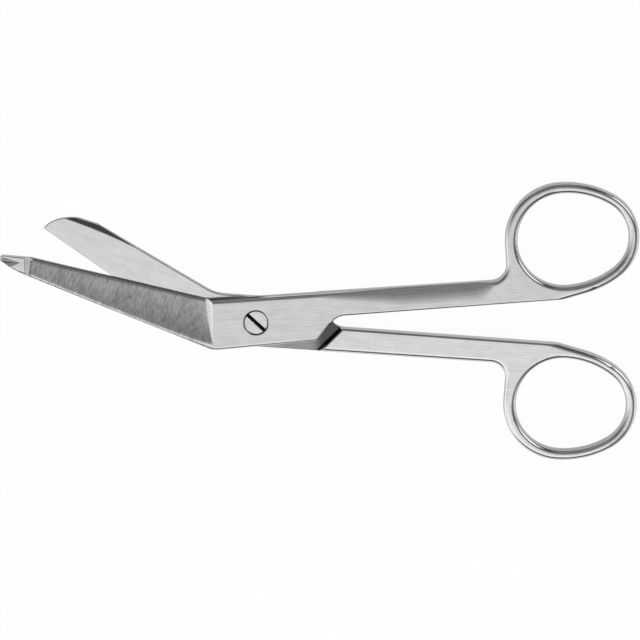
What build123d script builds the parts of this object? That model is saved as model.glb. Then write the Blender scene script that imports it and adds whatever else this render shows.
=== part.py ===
from build123d import *
import os
from math import atan2, cos, degrees, radians, sin, sqrt, tan

# Bandage scissors, in millimetres. Two forged halves cross at a slotted joint screw.
# Each half is drawn in its own frame: scissors closed, screw axis along Z through the origin,
# mating face at Z = 0, outer face towards +Z and the half's own finger ring on the +Y side.

# Lie of the scissors
open_angle = 8.5  # turn between the halves, from closed
joint_half = 2.0  # mating plane to outer face
back_depth = 1.5  # reach of a shank past the mating plane
ride_gap = 0.05  # between the two mating faces
edge_gap = 0.1  # from a shank's inner edge to the closing line

# Shank and finger ring
joint_rise = 5.68  # closing line to outer edge, at the screw
neck_rise = 5.27  # the same, at the ring's neck
neck_fillet = 3.5
ring_x = 68.35  # screw to the widest place of the ring, which is round on the joint's side
hole_width = 20.6
hole_far = 14.1  # widest place of the finger hole to its far end
hole_end = 8.6  # radius of that end
neck_bar = 2.75  # ring bar at the neck
side_bar = 2.35  # along the sides
far_bar = 2.3  # and at the end away from the joint
ring_crest = 0.2  # flat left along the crest of the ring, between its rounded edges
runout_turn = 12.0  # slope at which the ring's outline leaves for the inner edge, degrees
inner_bevel = 0.3  # bevel along the ground inner edge

# Joint shoulder and step
shoulder_reach = 17.7  # where the shoulder's line crosses the closing line
shoulder_angle = 49.0
shoulder_fillet = 3.5  # concave, into the shank's inner edge
shoulder_corner = 1.2
step_clearance = 0.65  # shoulder to the other half's step, closed
step_lean = 0.6  # slope of the step's wall, over its height
step_break = 0.22  # bevel along the top of that wall

# Both blades
bend_x = -9.9  # where the blades leave the joint
blade_round = 0.65  # rounding of spine and joint edge
spine_break = 0.2  # bevel between the inner face and spine, joint edge and shoulder
grind_radius = 55.0  # wheel that hollows a blade's outer face
edge_thickness = 0.5  # blade at the hollow's lower side, beside the cutting edge
spine_land = 0.95  # face left beside the spine, at the bend
thin_at = 25.0  # place along the blade where the hollow has thinned the spine
thin_spine = 1.5  # to this thickness
wall_setback = 0.78  # top of the hollow's end wall, from the bend
wall_run = 2.05  # slope of that wall, over the joint's thickness
wall_turn = 3.9  # its turn from square to the closing line, degrees
keen_height = 0.08  # thickness left at the cutting edge

# Probe blade
probe_lift = 0.5  # inner edge to the lowest of the ring
probe_low = 5.6  # closing line to the joint's lower edge, at the bend
probe_corner = 5.1  # the same, at the shoulder
probe_angle = 162.3  # direction of the cutting edge, degrees
probe_edge = 39.8  # length of the cutting edge
probe_root = 10.3  # blade width at the bend
probe_neck = 4.1  # blade width where the probe starts
probe_bend = 5.0  # radius of the outer bend
probe_length = 7.0  # end of the cutting edge to the tip
nose_radius = 0.8
nose_across = 1.66  # middle of the nose from the cutting edge's line
nose_back = 10.8  # tip to where the nose's two tapering sides are set out
nose_flare = 0.55  # reach of those sides past the blade there, on the cutting side
nose_spread = 5.7  # width between them there
step_top = 5.6  # tip to the top of the step behind the probe
step_run = 1.6  # slope of that step, over the joint's thickness
ridge_start = 4.6  # tip to where the probe's ridge leaves the outer face
ridge_across = 1.35  # ridge from the cutting edge's line
ridge_fall = 13.0  # degrees
probe_facet = 32.0  # slope of the facets beside the ridge, degrees
crown_start = 6.0  # screw to where the shank's outer face starts to fall away to its edge
crown_full = 33.0  # screw to where it falls in full
crown_last = 50.0  # and to where that ends
crown_end = 54.5  # screw to where the face is flat again
crown_blend = 25.0  # radius along the shank between these
crown_rise = 1.2  # closing line to the inner side of that fall
crown_radius = 13.0  # its curve across the shank
crown_slopes = (2.5, 5.0, 7.5, 10.0, 12.5)  # degrees, of the passes that grind it

# Plain blade
plain_lift = 0.75
plain_low = 5.5
plain_corner = 5.5
plain_angle = 211.2
plain_edge = 44.5
plain_root = 10.3
plain_neck = 7.7  # blade width where the tip starts to curve
plain_bend = 9.0
tip_length = 11.5  # curved tip
tip_width = 7.85
lens_width = 1.1  # bevel between inner face and spine, at its widest
lens_length = 24.0  # from the tip
lens_middle = 10.5  # its widest place, from the tip
lens_end = 3.3  # height of its border at the tip
lens_turn = 15.0  # direction of its slope, degrees

# Joint screw
head_radius = 2.6
head_height = 0.95
head_sink = 0.05  # below the outer face
head_clearance = 0.14
seat_clearance = 0.03
pin_radius = 1.5
running_clearance = 0.04
thread_clearance = 0.02
tail_sink = 0.1  # screw's end from the rear face
slot_width = 0.8
slot_depth = 0.55
slot_angle = -43.0
head_bevel = 0.12

# Worked out from the above
hole_radius = hole_width / 2
ring_radius = hole_radius + side_bar
ring_left = ring_x - ring_radius
hole_x = ring_left + neck_bar + hole_radius
ring_far = hole_x + hole_far + far_bar - ring_x
edge_round = (min(neck_bar, side_bar, far_bar) - ring_crest) / 2  # of the forging
mating = ride_gap / 2
probe_taper = (probe_root - probe_neck) / probe_edge
probe_tip = probe_edge + probe_length
plain_taper = (plain_root - plain_neck) / (plain_edge - tip_length)
keen_start = wall_run * (1 - edge_thickness / joint_half) - wall_setback
strip_low = -shoulder_corner  # lower side of the joint strip that is forged with the handle
clear = 2 * joint_half  # how far cutting shapes reach past the metal
far_x = ring_x + ring_far + clear
far_y = 2 * ring_radius
blade_end = bend_x - probe_tip - far_y
tolerance = 0.001


def outer_edge(x):
    """Height of the shank's straight outer edge above the closing line."""
    return joint_rise + (neck_rise - joint_rise) * x / ring_left


def shoulder_at(y):
    """Point of the shoulder's line."""
    return (shoulder_reach + y / tan(radians(shoulder_angle)), y)


def step_at(y, setback):
    """Point of the wall that the other half's shoulder closes against, set back from its foot."""
    foot = shoulder_reach + (step_clearance + setback) / sin(radians(shoulder_angle))
    return (foot - y / tan(radians(shoulder_angle)), y)


def blade_plane(angle):
    """Frame of a blade: X along its cutting edge from the bend, Y across towards the spine."""
    direction = (cos(radians(angle)), sin(radians(angle)), 0)
    return Plane(origin=(bend_x, outer_edge(bend_x), 0), x_dir=direction, z_dir=(0, 0, 1))


def crossing(start, along, other_start, other_along):
    """Where two lines in plan meet."""
    share = (other_start - start).cross(other_along).Z / along.cross(other_along).Z
    return start + along * share


def above(line, height):
    """Choose the edges that lie over a plan line at a height."""
    return lambda edge: line.distance_to(edge.center() - Vector(0, 0, height)) < tolerance


def oval_end(middle, reach, half_width, end_radius, stop):
    """Far half of a ring's outline: an end arc between two flatter side arcs, drawn clockwise. The
    second side arc stops short of the half's end by an angle."""
    past = reach - end_radius
    side_radius = (past**2 + half_width**2 - end_radius**2) / (2 * (half_width - end_radius))
    sink = side_radius - half_width
    turn = degrees(atan2(sink, past))
    x, y = middle
    CenterArc((x, y - sink), side_radius, 90, turn - 90)
    CenterArc((x + past, y), end_radius, turn, -2 * turn)
    return CenterArc((x, y + sink), side_radius, -turn, turn - 90 + stop)


def forged_handle(lift):
    """Ring, shank and the joint's outer strip. Below the closing line it is left over-size, as the
    forging is, for the inner edge to be ground from it."""
    blank_foot = shoulder_reach - shoulder_corner
    ring_y = edge_gap + lift + ring_radius
    with BuildPart() as handle:
        with BuildSketch(Plane.XY.offset(-back_depth)):
            with BuildLine():
                shank_edge = FilletPolyline(
                    (bend_x, outer_edge(bend_x)),
                    (ring_left, neck_rise),
                    (ring_left, ring_y),
                    radius=neck_fillet,
                )
                ring_middle = (ring_x, ring_y)
                CenterArc(ring_middle, ring_radius, 180, -90)
                far_edge = oval_end(
                    ring_middle, ring_far, ring_radius, hole_end + far_bar, runout_turn
                )
                leave = far_edge % 1
                runout_length = (blank_foot - (far_edge @ 1).X) / leave.X
                runout = Line(far_edge @ 1, far_edge @ 1 + leave * runout_length)
                Polyline(
                    runout @ 1,
                    (blank_foot, strip_low),
                    (bend_x, strip_low),
                    shank_edge @ 0,
                )
            make_face()
            with BuildLine():
                hole_middle = (hole_x, ring_y)
                CenterArc(hole_middle, hole_radius, 90, 180)
                oval_end(hole_middle, hole_far, hole_radius, hole_end, 0)
            make_face(mode=Mode.SUBTRACT)
        extrude(amount=back_depth + joint_half)
        flats = handle.faces().filter_by(Plane.XY)
        past_joint = flats.edges().filter_by(lambda e: e.center().X > blank_foot + tolerance)
        fillet(past_joint, edge_round)
    return handle.part


def beyond_inner_edge(height):
    """Plan of all that lies beyond the shoulder and the shank's inner edge."""
    with BuildSketch(Plane.XY.offset(height)) as region:
        with BuildLine():
            FilletPolyline(
                shoulder_at(-far_y),
                shoulder_at(edge_gap),
                (far_x, edge_gap),
                radius=shoulder_fillet,
            )
            Polyline((far_x, edge_gap), (far_x, -far_y), shoulder_at(-far_y))
        make_face()
    return region.sketch


def before_step(height, setback):
    """Plan of everything on the blade's side of the step, or of a line set back from its foot."""
    with BuildSketch(Plane.XY.offset(height)) as region:
        with BuildLine():
            Polyline(
                step_at(-far_y, setback),
                step_at(far_y, setback),
                (blade_end, far_y),
                (blade_end, -far_y),
                close=True,
            )
        make_face()
    return region.sketch


def blade_blank(blade, root, taper, length, low, corner, bend_radius):
    """Joint plate and straight-sided blade, rounded along shoulder, joint edge and spine."""
    spine = blade.from_local_coords((0, root))
    along = blade.from_local_coords((1, root - taper)) - spine
    foot = Vector(*shoulder_at(-corner))
    bend = crossing(spine, along, foot, Vector(bend_x, -low) - foot)
    with BuildPart() as blank:
        with BuildSketch():
            with BuildLine():
                rounded = FilletPolyline(
                    shoulder_at(-strip_low),
                    foot,
                    bend,
                    spine + along * length,
                    radius=(shoulder_corner, bend_radius),
                )
                Polyline(
                    rounded @ 1,
                    blade.from_local_coords((length, 0)),
                    blade.origin,
                    (bend_x + wall_setback, -strip_low),
                    rounded @ 0,
                )
            make_face()
        extrude(amount=joint_half)
        fillet(blank.edges().filter_by(above(rounded, joint_half)), blade_round)
        chamfer(blank.edges().filter_by(above(rounded, 0)), mating + spine_break)
    return blank.part


def ground_half(plate, lift):
    """Handle and plate in one, with the mating face, step, shoulder and inner edge ground."""
    lean = step_lean / back_depth
    away = Vector(sin(radians(shoulder_angle)), cos(radians(shoulder_angle)))
    down = Vector(0, 0, -1)
    with BuildPart() as half:
        add(forged_handle(lift))
        add(plate)
        step_cut = before_step(mating, 0)
        extrude(step_cut, amount=clear, dir=away * lean + down, mode=Mode.SUBTRACT)
        wall_top = before_step(step_break - back_depth, lean * (back_depth - step_break))
        extrude(wall_top, amount=clear, dir=away + down, mode=Mode.SUBTRACT)
        extrude(beyond_inner_edge(-clear), amount=2 * clear, mode=Mode.SUBTRACT)
        for level, side in ((joint_half, 1), (-back_depth, -1)):
            extrude(
                beyond_inner_edge(level - side * inner_bevel),
                amount=2 * inner_bevel,
                dir=(0, 1, side),
                mode=Mode.SUBTRACT,
            )
    return half.part


def wheel_middle(blade, along, width, height):
    """Middle of the wheel that leaves edge_thickness at the cutting edge and a height at a width."""
    rise = height - edge_thickness
    chord = sqrt(width**2 + rise**2)
    lift = sqrt(grind_radius**2 - (chord / 2) ** 2)
    across = width / 2 - lift * rise / chord
    return blade.from_local_coords((along, across, edge_thickness + rise / 2 + lift * width / chord))


def wall_plane(blade):
    """Frame of the walls that end a hollow: X square to them, from the bend, and Y up."""
    turn = -wall_turn
    return Plane(
        origin=blade.origin,
        x_dir=Vector(1, 0, 0).rotate(Axis.Z, turn),
        z_dir=Vector(0, -1, 0).rotate(Axis.Z, turn),
    )


def hollow_grind(blade, root, taper, end_x, end_slope):
    """What a wheel takes off a blade's outer face, between the wall at the bend and another wall
    that meets the outer face at end_x in the walls' frame."""
    start = wheel_middle(blade, 0, root - spine_land, joint_half)
    end = wheel_middle(blade, thin_at, root - taper * thin_at, thin_spine)
    wall_slope = wall_run / joint_half
    with BuildPart() as wheel:
        with BuildSketch(wall_plane(blade)):
            with BuildLine():
                Polyline(
                    (wall_setback - wall_run, 0),
                    (wall_setback + wall_slope * clear, joint_half + clear),
                    (end_x - end_slope * clear, joint_half + clear),
                    (end_x + end_slope * joint_half, 0),
                    close=True,
                )
            make_face()
        extrude(amount=2 * far_y, both=True)
        with BuildSketch(Plane(origin=start, x_dir=(0, 0, 1), z_dir=end - start)):
            Circle(grind_radius)
        extrude(amount=2 * probe_tip, both=True, mode=Mode.INTERSECT)
    return wheel.part


def keen_bevel(blade, length):
    """What is ground off along a cutting edge, from the hollow's wall on: a strip that leans over the
    blade at 45 degrees."""
    with BuildPart() as bevel:
        with BuildSketch(blade.offset(keen_height)) as strip:
            with Locations(((keen_start + length) / 2, -clear / 2)):
                Rectangle(length - keen_start, clear)
        extrude(strip.sketch, amount=clear, dir=blade.y_dir + blade.z_dir)
    return bevel.part


# Probe blade half in its own frame
probe_blade = blade_plane(probe_angle)
probe_end = probe_blade.from_local_coords((probe_tip, nose_across))
step_x = wall_plane(probe_blade).to_local_coords(probe_end).X + step_top
probe_plate = blade_blank(
    probe_blade, probe_root, probe_taper, probe_tip + clear, probe_low, probe_corner, probe_bend
)
probe_wheel = hollow_grind(
    probe_blade, probe_root, probe_taper, step_x, step_run / joint_half
)
with BuildPart() as probe_shape:
    add(ground_half(probe_plate, probe_lift))
    add(probe_wheel, mode=Mode.SUBTRACT)
    add(keen_bevel(probe_blade, probe_edge), mode=Mode.SUBTRACT)
    # Blunt nose in plan: a small round with two tapering sides
    nose_start = probe_tip - nose_back
    with BuildSketch(probe_blade.offset(-clear)) as around_nose:
        with Locations((nose_start + far_y / 2, 0)):
            Rectangle(far_y, far_y)
        with BuildSketch(mode=Mode.SUBTRACT):
            with Locations((probe_tip - nose_radius, nose_across)):
                Circle(nose_radius)
            with Locations((nose_start, nose_spread / 2 - nose_flare)):
                Rectangle(nose_radius, nose_spread)
            make_hull()
    extrude(around_nose.sketch, amount=2 * clear, mode=Mode.SUBTRACT)
    # Two facets that meet in a ridge, which falls towards the tip
    ridge = probe_blade.from_local_coords((probe_tip - ridge_start, ridge_across, joint_half))
    fall = probe_blade.x_dir - Vector(0, 0, tan(radians(ridge_fall)))
    for side in (-1, 1):
        facet = Plane(origin=ridge, x_dir=fall, z_dir=fall.cross(probe_blade.y_dir))
        facet = facet.rotated((-side * probe_facet, 0, 0))
        with BuildSketch(facet):
            with Locations((0, side * far_y / 2)):
                Rectangle(2 * far_y, far_y)
        extrude(amount=far_y, mode=Mode.SUBTRACT)
    # Crowned outer side of the shank: passes of a wheel that each lean further and fall to one place
    for crown_slope in crown_slopes:
        drop = tan(radians(crown_slope))
        depth = drop * (joint_rise - crown_rise) - crown_radius * drop**2 / 2
        lean = Vector(0, 0, 1).rotate(Axis.X, -crown_slope)
        outer_side = Plane(
            origin=(0, joint_rise, joint_half), x_dir=(1, 0, 0), z_dir=Vector(1, 0, 0).cross(lean)
        )
        with BuildSketch(outer_side):
            with BuildLine():
                FilletPolyline(
                    (crown_start, 0),
                    (crown_full, -depth),
                    (crown_last, -depth),
                    (crown_end, 0),
                    radius=crown_blend,
                )
                Line((crown_end, 0), (crown_start, 0))
            make_face()
        extrude(amount=joint_rise, mode=Mode.SUBTRACT)
    # Bore and counterbore for the screw
    with Locations((0, 0, joint_half)):
        CounterBoreHole(
            pin_radius + running_clearance,
            head_radius + head_clearance,
            head_sink + head_height + seat_clearance,
        )

# Plain blade half in its own frame
plain_blade = blade_plane(plain_angle)
plain_plate = blade_blank(
    plain_blade, plain_root, plain_taper, plain_edge + clear, plain_low, plain_corner, plain_bend
)
plain_wheel = hollow_grind(plain_blade, plain_root, plain_taper, blade_end, 0)
with BuildPart() as plain_shape:
    add(ground_half(plain_plate, plain_lift))
    add(plain_wheel, mode=Mode.SUBTRACT)
    add(keen_bevel(plain_blade, plain_edge + clear), mode=Mode.SUBTRACT)
    # Curved tip in plan
    tip_start = plain_edge - tip_length
    tip_turn = degrees(atan2(plain_taper, 1))
    with BuildSketch(plain_blade.offset(-clear)):
        with BuildLine():
            tip_edge = EllipticalCenterArc(
                (tip_start, 0), tip_length, tip_width, 90, arc_size=-90, rotation=-tip_turn
            )
            Polyline(
                tip_edge @ 1,
                (plain_edge, -clear),
                (plain_edge + far_y, -clear),
                (plain_edge + far_y, far_y),
                (tip_start, far_y),
                tip_edge @ 0,
            )
        make_face()
    extrude(amount=2 * clear, mode=Mode.SUBTRACT)
    # Lens-shaped bevel between the inner face and the spine
    lens_start = plain_edge - lens_length
    lens_peak = plain_edge - lens_middle
    with BuildSketch(plain_blade.offset(mating)) as lens:
        with BuildLine():
            border = ThreePointArc(
                (lens_start, plain_root - plain_taper * lens_start + ride_gap),
                (lens_peak, plain_root - plain_taper * lens_peak - lens_width),
                (plain_edge + lens_width, lens_end),
            )
            Polyline(border @ 1, (plain_edge + lens_width, far_y), (lens_start, far_y), border @ 0)
        make_face()
    slope = plain_blade.y_dir.rotate(Axis.Z, -lens_turn) + Vector(0, 0, 1)
    extrude(lens.sketch, amount=clear, dir=slope, mode=Mode.SUBTRACT)
    # Hole for the screw's thread
    with Locations((0, 0, joint_half)):
        Hole(pin_radius + thread_clearance)

# The three pieces where they lie, with the plain half's outer face on the ground
with BuildPart() as probe_blade_half:
    with Locations(Location((0, 0, joint_half), (0, 0, open_angle / 2))):
        add(probe_shape.part)

with BuildPart() as plain_blade_half:
    with Locations(Location((0, 0, joint_half), (0, 0, -open_angle / 2))):
        add(plain_shape.part, rotation=(180, 0, 0))

with BuildPart() as joint_screw:
    head_top = 2 * joint_half - head_sink
    with BuildSketch(Plane.XY.offset(tail_sink)):
        Circle(pin_radius)
    extrude(amount=head_top - tail_sink)
    with BuildSketch(Plane.XY.offset(head_top - head_height)):
        Circle(head_radius)
    extrude(amount=head_height)
    chamfer(joint_screw.faces().sort_by(Axis.Z)[-1].edges(), head_bevel)
    with BuildSketch(Plane.XY.offset(head_top)):
        with Locations(Location((0, 0), slot_angle)):
            Rectangle(3 * head_radius, slot_width)
    extrude(amount=-slot_depth, mode=Mode.SUBTRACT)

probe_blade_half.part.label = "probe_blade_half"
plain_blade_half.part.label = "plain_blade_half"
joint_screw.part.label = "joint_screw"

os.makedirs("parts", exist_ok=True)
export_step(probe_blade_half.part, "parts/probe_blade_half.step")
export_step(plain_blade_half.part, "parts/plain_blade_half.step")
export_step(joint_screw.part, "parts/joint_screw.step")
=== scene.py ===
# Looks of the bandage scissors: satin steel halves on a white ground, seen almost from above.
from math import cos, radians, sin

import bpy
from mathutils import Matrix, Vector


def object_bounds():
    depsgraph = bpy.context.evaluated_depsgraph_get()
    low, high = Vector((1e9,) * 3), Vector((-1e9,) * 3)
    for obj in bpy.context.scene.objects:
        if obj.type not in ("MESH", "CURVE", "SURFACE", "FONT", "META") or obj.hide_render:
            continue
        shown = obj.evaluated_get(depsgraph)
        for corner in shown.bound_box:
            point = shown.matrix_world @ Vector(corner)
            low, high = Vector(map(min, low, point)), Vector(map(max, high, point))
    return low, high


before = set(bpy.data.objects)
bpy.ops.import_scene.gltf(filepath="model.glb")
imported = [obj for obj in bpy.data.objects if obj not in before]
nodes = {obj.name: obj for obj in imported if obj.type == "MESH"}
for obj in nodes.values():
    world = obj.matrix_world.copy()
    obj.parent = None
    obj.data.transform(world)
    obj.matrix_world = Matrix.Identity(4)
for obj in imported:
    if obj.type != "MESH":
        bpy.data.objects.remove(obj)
cad_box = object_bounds()

MM = 0.001

# Camera: how the photograph was taken
TILT = radians(11.0)  # of the camera's place, from straight above towards +Y
DISTANCE = 0.9
SENSOR = 36.0
METRES_PER_PIXEL = 0.00022
FRAME_PIXELS = 640
AIM = Vector((0.01404, 0.00022, 0.002))  # what is in the middle of the picture

# Lie of the pieces, in the frame's coordinates
HALF_TURN = radians(4.25)  # each half from the closing line
MATING = (cad_box[0][2] + cad_box[1][2]) / 2  # height of the mating faces, halfway up
MATING_PLAY = 0.1 * MM  # how far from it a face still counts as one
BEND = -9.9 * MM  # where the blades leave the joint, along a half
HOLLOW_LEAN = (0.93, 0.9999)  # cosines of the slopes that only a hollow has
SLOT_REACH = 0.42 * MM  # from the slot's middle to just past its walls
SLOT_HEIGHTS = (0.1 * MM, 0.6 * MM)  # from the top of the screw down to the slot's faces

# Steel: brightness of each surface and directions of its grinding lines
PROBE_GREY = 0.65
PLAIN_GREY = 0.71
HOLLOW_GREY = 0.62
SCREW_GREY = 0.68
SLOT_SHADE_GREY = 0.02
PROBE_BLADE_LINES = radians(-13)
PLAIN_BLADE_LINES = radians(-22)
PROBE_HOLLOW_LINES = radians(252.5)
PLAIN_HOLLOW_LINES = radians(55)
BLADE_BLEND = 3 * MM  # over which the lines turn, before and after the bend
SLOT_LINE = radians(-43)  # along the slot and the lines on the screw's head

# Finishes: size of the lines, how strongly they show, and how wide the edges are rounded in the shading,
# which also sets the width of the painted shade along edges
BRUSHED = {
    "roughness": 0.15, "along": 9 * MM, "across": 0.22 * MM,
    "contrast": 0.07, "bump": 0.25, "edge_rounding": 0.35 * MM,
}
CROSS_GROUND = {
    "roughness": 0.24, "along": 6 * MM, "across": 0.24 * MM,
    "contrast": 0.3, "bump": 0.45, "edge_rounding": 1.0 * MM,
}
SCREW_GROUND = {
    "roughness": 0.15, "along": 4 * MM, "across": 0.15 * MM,
    "contrast": 0.08, "bump": 0.3, "edge_rounding": 0.15 * MM,
}
LINE_DETAIL = 4.0
FINE_SHARE = 0.6  # of each finer layer of the noise, over the one before
LINE_DEPTH = 0.02 * MM
LINE_SHARE = 0.7  # of the lines in the pattern, beside the clouds
CLOUD_DETAIL = 2.0
CLOUD_LENGTH = 12  # in widths of a line
CLOUD_WIDTH = 8
TONE_SPAN = (0.36, 0.64)  # values of the noise between which the colour changes
ROUGHNESS_SPAN = (0.3, 0.7)  # and the roughness
ROUGHNESS_SWING = 0.06
EDGE_ROUNDING_SAMPLES = 16
SPECK = 0.2 * MM  # grain of the nearly black, painted-shade metal in the slot
SPECK_SPAN = (0.3, 0.7)
SPECK_CONTRAST = 0.4
SLOT_ROUGHNESS = 0.8
SLOT_GLOSS = 0.1

# Painted shade on the steel: shares of its brightness that are lost, and between which places
# Painted shade on the plain half's mating face, inside the joint and at the step
INSIDE_FULL = 7 * MM  # the mating face darkens from the bend to here
INSIDE_DARK = 0.56
STEP_NEAR = 11.5 * MM  # and again from here to the step
STEP_FOOT = 15 * MM
STEP_DARK = 0.32
# Painted shade on the probe half's joint plate, in the gap beside the other blade's root
CREVICE_START = BEND - 0.5 * MM  # the joint plate's side darkens from here to the bend
CREVICE_FADE = 0.0  # and is light again between here
CREVICE_END = 3 * MM  # and here
CREVICE_FACING = (0.74, 0.87)  # how far a face there turns to the back before it is dark
CREVICE_DARK = 0.98
SIDE_FACING = (0.2, 0.7)  # upward part of the normal, from upright faces to flat ones
SIDE_SHADED = 0.32  # painted brightness of the steel on upright faces, over that on flat ones

# Studio: brightness of the sky by how far a direction leans, in degrees from straight up
SKY_TO_BACK = (
    (-90, 0.12), (-62, 0.1), (-50, 0.25), (-38, 1.3), (-24, 1.2), (-12, 0.97), (-5, 0.74), (4, 0.46),
    (15, 0.26), (27, 0.14), (36, 0.16), (50, 0.35), (60, 0.3), (70, 0.12), (90, 0.15),
)
SKY_TO_RIGHT = (
    (-90, 1.9), (-74, 1.6), (-60, 0.95), (-40, 0.95), (-22, 1.05), (-11, 1.0), (9, 1.0), (17, 0.35),
    (30, 0.2), (48, 0.2), (64, 0.8), (80, 1.4), (90, 1.6),
)
SIDE_LAMP = Vector((0.68, 0.43, 0.6))  # towards a soft lamp behind, on the right
SIDE_LAMP_LEVEL = 1.6
SIDE_LAMP_CORE = radians(10)  # from its middle to where it starts to fade
SIDE_LAMP_RIM = radians(22)
FLOOR_SIZE = 8.0
FLOOR_COLOUR = (0.92, 0.92, 0.92, 1)
FLOOR_ROUGHNESS = 0.9
FLOOR_GLOSS = 0.0
FLOOR_GLOW = 0.93  # share of the floor's white that no shadow takes away
FLOOR_WHITE = 1.03


def new_material(name):
    """An empty node material with its shader."""
    material = bpy.data.materials.new(name)
    material.use_nodes = True
    tree = material.node_tree
    return material, tree, tree.nodes["Principled BSDF"]


def add(tree, kind, settings=(), **inputs):
    """A node with settings and unlinked input values."""
    node = tree.nodes.new(kind)
    for key, value in dict(settings).items():
        setattr(node, key, value)
    for key, value in inputs.items():
        node.inputs[key].default_value = value
    return node


def maths(tree, operation, *values):
    """A Math node between sockets or numbers."""
    node = tree.nodes.new("ShaderNodeMath")
    node.operation = operation
    for socket, value in zip(node.inputs, values):
        if isinstance(value, (int, float)):
            socket.default_value = value
        else:
            tree.links.new(value, socket)
    return node.outputs[0]


def remap(tree, value, low, high, to_low, to_high):
    """A smooth change from one range to another."""
    node = add(tree, "ShaderNodeMapRange", {"interpolation_type": "SMOOTHSTEP"})
    tree.links.new(value, node.inputs["Value"])
    for key, number in zip(("From Min", "From Max", "To Min", "To Max"), (low, high, to_low, to_high)):
        node.inputs[key].default_value = number
    return node.outputs[0]


def split(tree, vector):
    """The X, Y and Z of a vector."""
    parts = add(tree, "ShaderNodeSeparateXYZ")
    tree.links.new(vector, parts.inputs[0])
    return parts.outputs


def rest_place(tree):
    """The X, Y and Z of the shaded point, with the scissors at rest."""
    return split(tree, add(tree, "ShaderNodeTexCoord").outputs["Object"])


def paint(tree, shader, tone):
    """A grey on the shader from a value."""
    colour = add(tree, "ShaderNodeCombineColor")
    for channel in ("Red", "Green", "Blue"):
        tree.links.new(tone, colour.inputs[channel])
    tree.links.new(colour.outputs["Color"], shader.inputs["Base Color"])


def streaks(tree, turn, along, across, detail):
    """Noise drawn out along a direction of the piece: lengths in metres, turn in radians."""
    coords = add(tree, "ShaderNodeTexCoord")
    mapping = add(tree, "ShaderNodeMapping", {"vector_type": "TEXTURE"})
    mapping.inputs["Rotation"].default_value = (0, 0, turn)
    mapping.inputs["Scale"].default_value = (along, across, across)
    noise = add(tree, "ShaderNodeTexNoise", Scale=1.0, Detail=detail, Roughness=FINE_SHARE)
    tree.links.new(coords.outputs["Object"], mapping.inputs["Vector"])
    tree.links.new(mapping.outputs["Vector"], noise.inputs["Vector"])
    return noise.outputs["Fac"]


def painted_joint_shade(tree):
    """Painted shade on the mating face inside the joint, deepening towards the step."""
    place = rest_place(tree)
    on_face = maths(tree, "COMPARE", place["Z"], MATING, MATING_PLAY)
    inside = remap(tree, place["X"], BEND, INSIDE_FULL, 0, INSIDE_DARK)
    at_step = remap(tree, place["X"], STEP_NEAR, STEP_FOOT, 0, STEP_DARK)
    shade = maths(tree, "ADD", inside, at_step)
    return maths(tree, "SUBTRACT", 1.0, maths(tree, "MULTIPLY", on_face, shade))


def painted_crevice_shade(tree):
    """Painted shade on the joint plate's upright side beside the other blade's root, standing in for the
    shadow of the gap between them.
    """
    place = rest_place(tree)
    facing = split(tree, add(tree, "ShaderNodeTexCoord").outputs["Normal"])
    past_bend = remap(tree, place["X"], CREVICE_START, BEND, 0, 1)
    before_end = remap(tree, place["X"], CREVICE_FADE, CREVICE_END, 1, 0)
    inside = maths(tree, "MULTIPLY", past_bend, before_end)
    upright = remap(tree, facing["Y"], *CREVICE_FACING, 0, CREVICE_DARK)
    return maths(tree, "SUBTRACT", 1.0, maths(tree, "MULTIPLY", inside, upright))


def painted_side_shade(tree, normal):
    """Painted shade on steep faces and along rounded edges, which darkens the white floor they reflect
    into dark outlines.
    """
    upward = maths(tree, "ABSOLUTE", split(tree, normal)["Z"])
    return remap(tree, upward, *SIDE_FACING, SIDE_SHADED, 1)


def grinding_lines(tree, turn, blade_turn, finish):
    """Lines along one direction, which turn into another on the blade where that is given."""
    size = (finish["along"], finish["across"], LINE_DETAIL)
    lines = streaks(tree, turn, *size)
    if blade_turn is None:
        return lines
    on_blade = remap(tree, rest_place(tree)["X"], BEND - BLADE_BLEND, BEND + BLADE_BLEND, 1, 0)
    change = maths(tree, "SUBTRACT", streaks(tree, blade_turn, *size), lines)
    return maths(tree, "MULTIPLY_ADD", change, on_blade, lines)


def with_clouds(tree, lines, turn, width):
    """The lines with broad clouds among them."""
    clouds = streaks(tree, turn, CLOUD_LENGTH * width, CLOUD_WIDTH * width, CLOUD_DETAIL)
    clouds = maths(tree, "MULTIPLY", clouds, 1 - LINE_SHARE)
    return maths(tree, "MULTIPLY_ADD", lines, LINE_SHARE, clouds)


def steel(name, grey, turn, finish, blade_turn=None, joint=None):
    """Satin steel with grinding lines and rounded edges, painted shade on its upright faces and edges, and
    its own painted shade at the joint.
    """
    material, tree, shader = new_material(name)
    lines = grinding_lines(tree, turn, blade_turn, finish)
    pattern = with_clouds(tree, lines, turn, finish["across"])
    edge_rounding = add(tree, "ShaderNodeBevel", {"samples": EDGE_ROUNDING_SAMPLES}, Radius=finish["edge_rounding"]).outputs["Normal"]
    contrast = finish["contrast"]
    tone = remap(tree, pattern, *TONE_SPAN, grey * (1 - contrast), grey * (1 + contrast))
    # Painted shade on upright faces and rounded edges
    tone = maths(tree, "MULTIPLY", tone, painted_side_shade(tree, edge_rounding))
    # Painted shade at the joint, where one is given
    if joint:
        tone = maths(tree, "MULTIPLY", tone, joint(tree))
    paint(tree, shader, tone)
    dull = finish["roughness"] + ROUGHNESS_SWING
    bright = finish["roughness"] - ROUGHNESS_SWING
    tree.links.new(remap(tree, pattern, *ROUGHNESS_SPAN, dull, bright), shader.inputs["Roughness"])
    relief = add(tree, "ShaderNodeBump", Strength=finish["bump"], Distance=LINE_DEPTH)
    tree.links.new(lines, relief.inputs["Height"])
    tree.links.new(edge_rounding, relief.inputs["Normal"])
    tree.links.new(relief.outputs["Normal"], shader.inputs["Normal"])
    shader.inputs["Metallic"].default_value = 1.0
    return material


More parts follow.
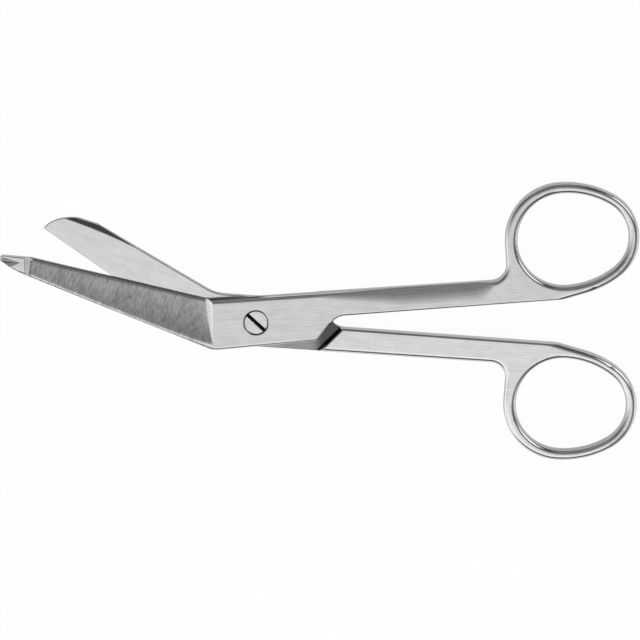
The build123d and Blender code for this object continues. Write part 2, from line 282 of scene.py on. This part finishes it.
def painted_slot_shade(name, grey):
    """Nearly black dull metal with fine specks: painted shade for the inside of the screw's slot."""
    material, tree, shader = new_material(name)
    specks = streaks(tree, 0, SPECK, SPECK, CLOUD_DETAIL)
    dark = grey * (1 - SPECK_CONTRAST)
    light = grey * (1 + SPECK_CONTRAST)
    paint(tree, shader, remap(tree, specks, *SPECK_SPAN, dark, light))
    shader.inputs["Roughness"].default_value = SLOT_ROUGHNESS
    shader.inputs["Specular IOR Level"].default_value = SLOT_GLOSS
    return material


def along_half(point, side):
    """Place of a point along its half, from the screw: side is 1 for the probe half, -1 for the plain."""
    return point.x * cos(HALF_TURN) + side * point.y * sin(HALF_TURN)


def dress_half(node, side, brushed, hollow):
    """Brushed all over, with the hollow-ground face of the blade in its own finish."""
    mesh = nodes[node].data
    mesh.materials.clear()
    mesh.materials.append(brushed)
    mesh.materials.append(hollow)
    least, most = HOLLOW_LEAN
    for face in mesh.polygons:
        on_blade = along_half(face.center, side) < BEND
        ground = on_blade and least < side * face.normal.z < most
        face.material_index = 1 if ground else 0


def dress_halves():
    """Materials of the two halves."""
    probe_brushed = steel(
        "probe_brushed", PROBE_GREY, HALF_TURN, BRUSHED, PROBE_BLADE_LINES, painted_crevice_shade
    )
    plain_brushed = steel(
        "plain_brushed", PLAIN_GREY, -HALF_TURN, BRUSHED, PLAIN_BLADE_LINES, painted_joint_shade
    )
    probe_hollow = steel("probe_hollow", HOLLOW_GREY, PROBE_HOLLOW_LINES, CROSS_GROUND)
    plain_hollow = steel("plain_hollow", HOLLOW_GREY, PLAIN_HOLLOW_LINES, CROSS_GROUND)
    dress_half("probe_blade_half", 1, probe_brushed, probe_hollow)
    dress_half("plain_blade_half", -1, plain_brushed, plain_hollow)


def dress_screw():
    """Ground head, with painted shade in its slot."""
    mesh = nodes["joint_screw"].data
    mesh.materials.clear()
    mesh.materials.append(steel("screw_ground", SCREW_GREY, SLOT_LINE, SCREW_GROUND))
    # Nearly black painted shade on the slot's walls and floor
    mesh.materials.append(painted_slot_shade("slot_painted_shade", SLOT_SHADE_GREY))
    top = max(vertex.co.z for vertex in mesh.vertices)
    least, most = SLOT_HEIGHTS
    for face in mesh.polygons:
        across = face.center.y * cos(SLOT_LINE) - face.center.x * sin(SLOT_LINE)
        in_slot = abs(across) < SLOT_REACH and least < top - face.center.z < most
        face.material_index = 1 if in_slot else 0


def make_floor():
    """White ground that keeps a faint shadow."""
    bpy.ops.mesh.primitive_plane_add(size=FLOOR_SIZE, location=(0, 0, 0))
    floor = bpy.context.object
    floor.name = "floor"
    material, tree, shader = new_material("floor_white")
    shader.inputs["Base Color"].default_value = FLOOR_COLOUR
    shader.inputs["Roughness"].default_value = FLOOR_ROUGHNESS
    shader.inputs["Specular IOR Level"].default_value = FLOOR_GLOSS
    glow = add(tree, "ShaderNodeEmission", Strength=FLOOR_WHITE)
    path = add(tree, "ShaderNodeLightPath")
    seen = maths(tree, "MAXIMUM", path.outputs["Is Camera Ray"], path.outputs["Is Glossy Ray"])
    seen = maths(tree, "MAXIMUM", seen, path.outputs["Is Transmission Ray"])
    mix = add(tree, "ShaderNodeMixShader")
    tree.links.new(maths(tree, "MULTIPLY", seen, FLOOR_GLOW), mix.inputs[0])
    tree.links.new(shader.outputs[0], mix.inputs[1])
    tree.links.new(glow.outputs[0], mix.inputs[2])
    tree.links.new(mix.outputs[0], tree.nodes["Material Output"].inputs["Surface"])
    floor.data.materials.append(material)


def graded(tree, lean, stops):
    """Level over one component of a direction, from pairs of degrees and brightness."""
    brightest = max(level for angle, level in stops)
    ramp = add(tree, "ShaderNodeValToRGB")
    tree.links.new(maths(tree, "MULTIPLY_ADD", lean, 0.5, 0.5), ramp.inputs["Fac"])
    elements = ramp.color_ramp.elements
    while len(elements) < len(stops):
        elements.new(1.0)
    for element, (angle, level) in zip(elements, stops):
        element.position = (1 + sin(radians(angle))) / 2
        grey = level / brightest
        element.color = (grey, grey, grey, 1)
    return maths(tree, "MULTIPLY", ramp.outputs["Color"], brightest)


def side_lamp(tree, direction):
    """Level of the soft lamp in a direction of the sky."""
    beside = add(tree, "ShaderNodeVectorMath", {"operation": "DOT_PRODUCT"})
    tree.links.new(direction, beside.inputs[0])
    beside.inputs[1].default_value = SIDE_LAMP
    nearness = beside.outputs["Value"]
    return remap(tree, nearness, cos(SIDE_LAMP_RIM), cos(SIDE_LAMP_CORE), 0, SIDE_LAMP_LEVEL)


def make_sky():
    """Studio with a soft light overhead and low ones at the sides, dark behind the scissors."""
    world = bpy.data.worlds.new("studio")
    bpy.context.scene.world = world
    world.use_nodes = True
    tree = world.node_tree
    direction = add(tree, "ShaderNodeTexCoord").outputs["Generated"]
    lean = split(tree, direction)
    back = graded(tree, lean["Y"], SKY_TO_BACK)
    right = graded(tree, lean["X"], SKY_TO_RIGHT)
    level = maths(tree, "MULTIPLY_ADD", back, right, side_lamp(tree, direction))
    background = tree.nodes["Background"]
    tree.links.new(level, background.inputs["Strength"])
    background.inputs["Color"].default_value = (1, 1, 1, 1)


def make_camera():
    """The photograph's view."""
    data = bpy.data.cameras.new("camera")
    data.sensor_width = SENSOR
    data.lens = DISTANCE * SENSOR / (FRAME_PIXELS * METRES_PER_PIXEL)
    camera = bpy.data.objects.new("camera", data)
    bpy.context.scene.collection.objects.link(camera)
    camera.location = AIM + DISTANCE * Vector((0, sin(TILT), cos(TILT)))
    camera.rotation_euler = (-TILT, 0, 0)
    bpy.context.scene.camera = camera


dress_halves()
dress_screw()
make_floor()
make_sky()
make_camera()
bpy.context.scene.view_settings.view_transform = "Standard"
